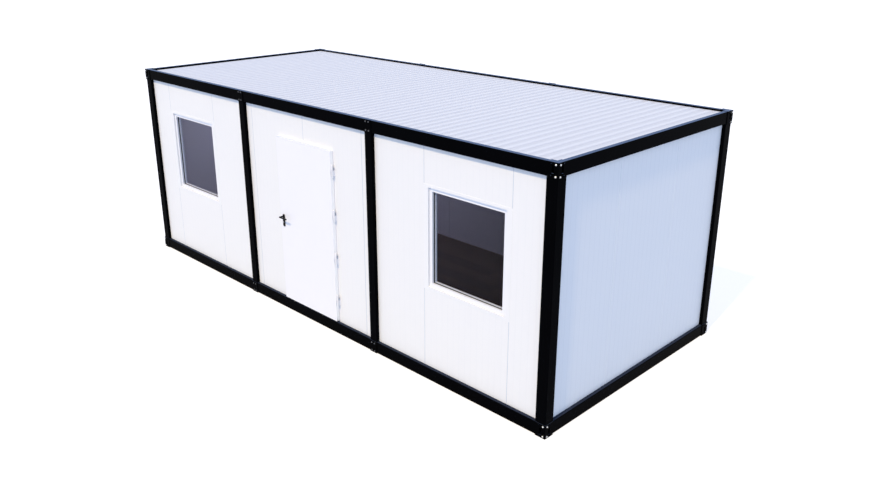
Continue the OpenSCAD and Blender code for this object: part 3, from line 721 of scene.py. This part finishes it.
def window_cover_frames():
    """Thin white frames round the windows, which lie on the wall and close the panel joints beside them.

    A profile point (share, y) lies that share of the way from a corner of the window's cut-out to the same
    corner of the cover frame, at depth y.
    """
    face = PANEL_LOW.y
    front = face - COVER_T
    profile = [(0, face), (1, face), (1, front + COVER_EASE), (COVER_FLAT, front), (0, front)]
    reach = np.array([
        [-COVER_SIDE, -COVER_BELOW], [COVER_SIDE, -COVER_BELOW],
        [COVER_SIDE, COVER_ABOVE], [-COVER_SIDE, COVER_ABOVE]])
    lap = WINDOW_LAP
    for side in ("left", "right"):
        low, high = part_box(f"{side}_window_frame")
        points, faces = ring_round(low.x + lap, high.x - lap, low.z + lap, high.z - lap, profile, reach)
        new_piece(f"{side}_window_cover", points, faces, cover_white, "cabin", smooth=False)


# Seals in the panel joints: places along the long walls, half width, how deep the edges lie, the middle's
# rise, then half width and depth of the back, and points across
FRONT_JOINTS = (-2.9710, -1.8770, -0.9946, 0.9946, 1.9070, 3.0010)
BACK_JOINTS = (-2.7884, -1.7884, -0.5, 0.5, 1.7884, 2.7884)
HEADER_JOINT = 0.0
SEAL_STRIP_HALF = 0.0029
SEAL_STRIP_DEEP = 0.0009
SEAL_STRIP_RISE = 0.0005
SEAL_BACK_HALF = 0.0010
SEAL_BACK_DEEP = 0.0026
SEAL_STRIP_POINTS = 7


def joint_seals():
    """Grey strips pressed into the bevelled joints between wall panels.

    The outer side of a strip is a parabola, shallowest in the middle, and its narrow back lies deeper in the
    joint. This closed section is carried from foot to head of its joint. The joint over the door starts at
    the header.
    """
    x = np.array([*FRONT_JOINTS, HEADER_JOINT, *BACK_JOINTS])
    way = np.array([-1.0] * (len(FRONT_JOINTS) + 1) + [1.0] * len(BACK_JOINTS))
    foot = np.where(np.arange(len(x)) == len(FRONT_JOINTS), HEADER_LOW.z, PANEL_LOW.z)
    level = np.stack([foot, np.full(len(x), PANEL_HIGH.z)], -1)
    share = np.linspace(-1, 1, SEAL_STRIP_POINTS)
    across = np.append(SEAL_STRIP_HALF * share, [SEAL_BACK_HALF, -SEAL_BACK_HALF])
    deep = np.append(
        SEAL_STRIP_DEEP - SEAL_STRIP_RISE * (1 - share ** 2), [SEAL_BACK_DEEP, SEAL_BACK_DEEP])
    x, way = x[:, None, None], way[:, None, None]
    points = places(x - way * across, way * (-PANEL_LOW.y - deep), level[:, :, None])
    new_piece("joint_seals", points, stack_faces(points), joint_grey, "cabin")


# Floor boards: width, length, thickness, bevel, gap and distance from the walls, then how far each row is
# shifted as a share of the length, the shortest piece that is laid, and the seed of their tones
BOARD_W = 0.190
BOARD_L = 1.380
BOARD_T = 0.003
BOARD_BEVEL = 0.0015
BOARD_GAP = 0.0006
BOARD_EDGE = 0.016
BOARD_STAGGER = 0.37
BOARD_SHORTEST = 0.02
BOARD_SEED = 7


def floor_boards():
    """Laminate boards laid along X with staggered ends.

    Board edges are the rows' and joints' positions cut to the floor; each board is a slab whose top is drawn
    in by the bevel, so it has three rings of four corners and a top and bottom face.
    """
    x0, x1 = DECK_LOW.x + BOARD_EDGE, DECK_HIGH.x - BOARD_EDGE
    y0, y1 = DECK_LOW.y + BOARD_EDGE, DECK_HIGH.y - BOARD_EDGE
    rows = np.arange(math.ceil((y1 - y0) / BOARD_W))
    columns = np.arange(-1, math.ceil((x1 - x0) / BOARD_L) + 1)
    row, column = every(rows, columns)
    shift = (row * BOARD_STAGGER % 1.0) * BOARD_L
    left = np.clip(x0 + column * BOARD_L + shift, x0, x1) + BOARD_GAP
    right = np.clip(x0 + (column + 1) * BOARD_L + shift, x0, x1) - BOARD_GAP
    front = y0 + row * BOARD_W + BOARD_GAP
    back = np.minimum(y0 + (row + 1) * BOARD_W, y1) - BOARD_GAP
    kept = right - left > BOARD_SHORTEST
    left, right, front, back = (a[kept] for a in (left, right, front, back))
    draw_in = np.array([0, 0, BOARD_BEVEL])[:, None]
    level = DECK_HIGH.z + np.array([0, BOARD_T - BOARD_BEVEL / 2, BOARD_T])[:, None]
    x = np.stack([left, right, right, left], -1)[:, None, :] + np.array([1, -1, -1, 1]) * draw_in
    y = np.stack([front, front, back, back], -1)[:, None, :] + np.array([1, 1, -1, -1]) * draw_in
    points = places(x, y, level)
    piece = new_piece(
        "floor_boards", points, stack_faces(points), boards_dark, "cabin", smooth=False)
    corners = points.shape[1] * points.shape[2]
    tone = np.random.default_rng(BOARD_SEED).random(len(left)).repeat(corners)
    attribute = piece.data.attributes.new("board_tone", "FLOAT", "POINT")
    attribute.data.foreach_set("value", tone.astype(np.float32))


# Hinges: their number and height, then radius and rise of the domed caps, the flat on top, rings and sides
HINGE_COUNT = 4
HINGE_H = 0.124
CAP_R = 0.0092
CAP_RISE = 0.006
CAP_FLAT = 0.0002
CAP_RINGS = 6
CAP_SIDES = 20


def hinge_caps():
    """Domed caps on the hinge pins: radius times cosine by rise times sine, turned round the pin.

    One under each lower knuckle rides on the cabin, one over each upper knuckle rides on the door.
    """
    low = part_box("hinge_frame_halves")[0].z
    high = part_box("hinge_leaf_halves")[1].z
    swing = next(j for j in frame["joints"] if j["name"] == "door_swing")
    pin_x, pin_y = swing["pos_m"][:2]
    foot = np.linspace(low, high - HINGE_H, HINGE_COUNT)
    turn = np.linspace(0, np.pi / 2, CAP_RINGS)
    dome = np.stack([CAP_R * np.cos(turn) + CAP_FLAT, CAP_RISE * np.sin(turn)], -1)
    for name, body, lift, way in (
            ("hinge_caps_low", "cabin", 0.0, -1.0), ("hinge_caps_high", "door", HINGE_H, 1.0)):
        axes = np.tile([0.0, 0.0, way], (HINGE_COUNT, 1))
        points = turned_pieces(places(pin_x, pin_y, foot + lift), axes, dome, CAP_SIDES)
        new_piece(name, points, stack_faces(points), door_white, body)


# Handle plates: thickness, screws from the top and bottom ends, the screws' radius and height ring by ring
HANDLE_T = 0.008
SCREW_BELOW_TOP = 0.0085
SCREW_ABOVE_FOOT = 0.0110
SCREW_PROFILE = [
    (0.0037, 0.0), (0.0037, 0.0005), (0.0033, 0.0010),
    (0.0019, 0.0013), (0.0016, 0.0012), (0.0014, 0.0002)]
SCREW_SIX_SIDED = (4, 5)
SCREW_SIDES = 12
# Key cylinder: below the top of the plate, proud of its face, the core's radius and height, and the keyway
KEY_BELOW_TOP = 0.097
KEY_PROUD = 0.003
KEY_CORE = [(0.0062, 0.0), (0.0062, 0.0003), (0.0058, 0.0006), (0.0030, 0.0006)]
KEY_SIDES = 24
KEYWAY_HALF_W = 0.0008
KEYWAY_HALF_H = 0.0034
KEYWAY_RISE = 0.0007
KEYWAY_POINTS = 8


def handle_fittings():
    """Socket screws and a bright key core with its keyway on the handle plates, outside and in the room.

    The screws and cores are turned round Y. A keyway is a slim lozenge on the core's face: half width times
    cosine by half height times sine, the same again further out, closed into a low prism.
    """
    across = (HANDLE_LOW.x + HANDLE_HIGH.x) / 2
    side, end = every([-1.0, 1.0], [0, 1])
    face = np.where(side < 0, LEAF_LOW.y - HANDLE_T, LEAF_HIGH.y + HANDLE_T)
    z = np.where(end > 0, HANDLE_HIGH.z - SCREW_BELOW_TOP, HANDLE_LOW.z + SCREW_ABOVE_FOOT)
    points = turned_pieces(
        places(across, face, z), places(0.0, side, 0.0), SCREW_PROFILE, SCREW_SIDES, SCREW_SIX_SIDED)
    new_piece("handle_screws", points, stack_faces(points), dull_zinc, "door")

    side, face = side[::2], face[::2] + side[::2] * KEY_PROUD
    middle = places(across, face, HANDLE_HIGH.z - KEY_BELOW_TOP)
    axes = places(0.0, side, 0.0)
    points = turned_pieces(middle, axes, KEY_CORE, KEY_SIDES)
    new_piece("key_cores", points, stack_faces(points), bright_zinc, "door")

    turn = np.arange(KEYWAY_POINTS) * 2 * np.pi / KEYWAY_POINTS
    outline = places(
        KEYWAY_HALF_W * np.cos(turn), 0.0, -side[:, None, None] * KEYWAY_HALF_H * np.sin(turn))
    rise = np.array([0.0, KEYWAY_RISE])[:, None, None] * axes[:, None, None, :]
    points = middle[:, None, None, :] + rise + outline
    new_piece("keyways", points, stack_faces(points), rubber, "door", smooth=False)


set_up_camera()
hang_lamps()
set_up_sky()
lay_floor()
finish_packed_nodes()
corner_block_bolts("corner_edge_bolts", EDGE_BOLTS_IN, bright_zinc)
corner_block_bolts("corner_inner_bolts", INNER_BOLTS_IN, frame_black)
joint_plate_bolts()
door_seal()
door_edging()
roof_fillers()
pane_spacers()
window_cover_frames()
joint_seals()
floor_boards()
hinge_caps()
handle_fittings()

scene.view_settings.view_transform = "Standard"
